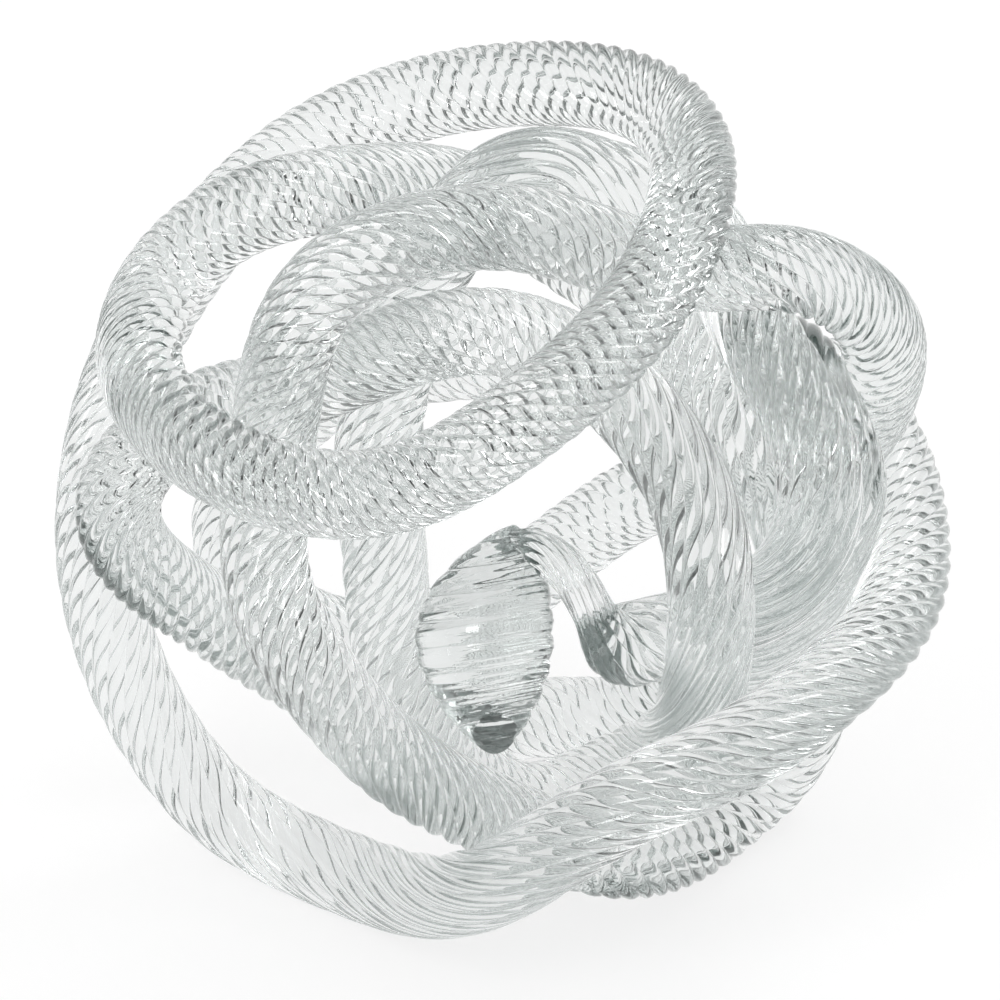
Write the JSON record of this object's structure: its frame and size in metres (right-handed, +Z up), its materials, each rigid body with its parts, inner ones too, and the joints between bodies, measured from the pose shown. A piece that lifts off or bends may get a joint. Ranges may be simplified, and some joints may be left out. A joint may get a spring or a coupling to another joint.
{
  "type": "glass knot sculpture",
  "caption": "Decorative knot sculpture: a twisted, ribbed rope of clear glass coiled over and under itself into an open ball round its thick end.",
  "frame": {"origin": "centre of the outline in plan, on the surface that the sculpture stands on", "axes": "+Z up, -Y towards the side shown in the picture, +X to that view's right"},
  "size_m": [0.2522, 0.2172, 0.2357],
  "materials": {
    "clear_glass": "fire-polished solid clear glass, faint green tint in the thick parts"
  },
  "bodies": {
    "root": {"knob": "clear_glass", "neck": "clear_glass", "inner_right_low": "clear_glass", "inner_right_rise": "clear_glass", "top_right_back": "clear_glass", "inner_top_arch": "clear_glass", "centre_left_drop": "clear_glass", "centre_left_stem": "clear_glass", "inner_bottom_turn": "clear_glass", "centre_right_rise": "clear_glass", "centre_right_top": "clear_glass", "upper_cross_arch": "clear_glass", "left_tuck": "clear_glass", "left_curl": "clear_glass", "lower_back_run": "clear_glass", "back_foot": "clear_glass", "back_right_rise": "clear_glass", "right_sliver": "clear_glass", "upper_back_run": "clear_glass", "left_back_drop": "clear_glass", "lower_left_back": "clear_glass", "centre_back_rise": "clear_glass", "back_turn_right": "clear_glass", "right_shoulder": "clear_glass", "front_arch_right": "clear_glass", "front_arch": "clear_glass", "front_left_drop": "clear_glass", "front_left_stem": "clear_glass", "lower_left_sweep": "clear_glass", "right_foot": "clear_glass", "right_back_climb": "clear_glass", "right_back_rise": "clear_glass", "upper_back_cross": "clear_glass", "upper_left_arch": "clear_glass", "ring_upper_left": "clear_glass", "ring_left": "clear_glass", "ring_low": "clear_glass", "ring_front_rise": "clear_glass", "ring_top_right": "clear_glass", "ring_top": "clear_glass", "ring_top_left": "clear_glass", "outer_left": "clear_glass", "left_foot": "clear_glass", "outer_bottom": "clear_glass", "outer_lower_right": "clear_glass", "outer_right": "clear_glass", "tail": "clear_glass"}
  },
  "joints": []
}
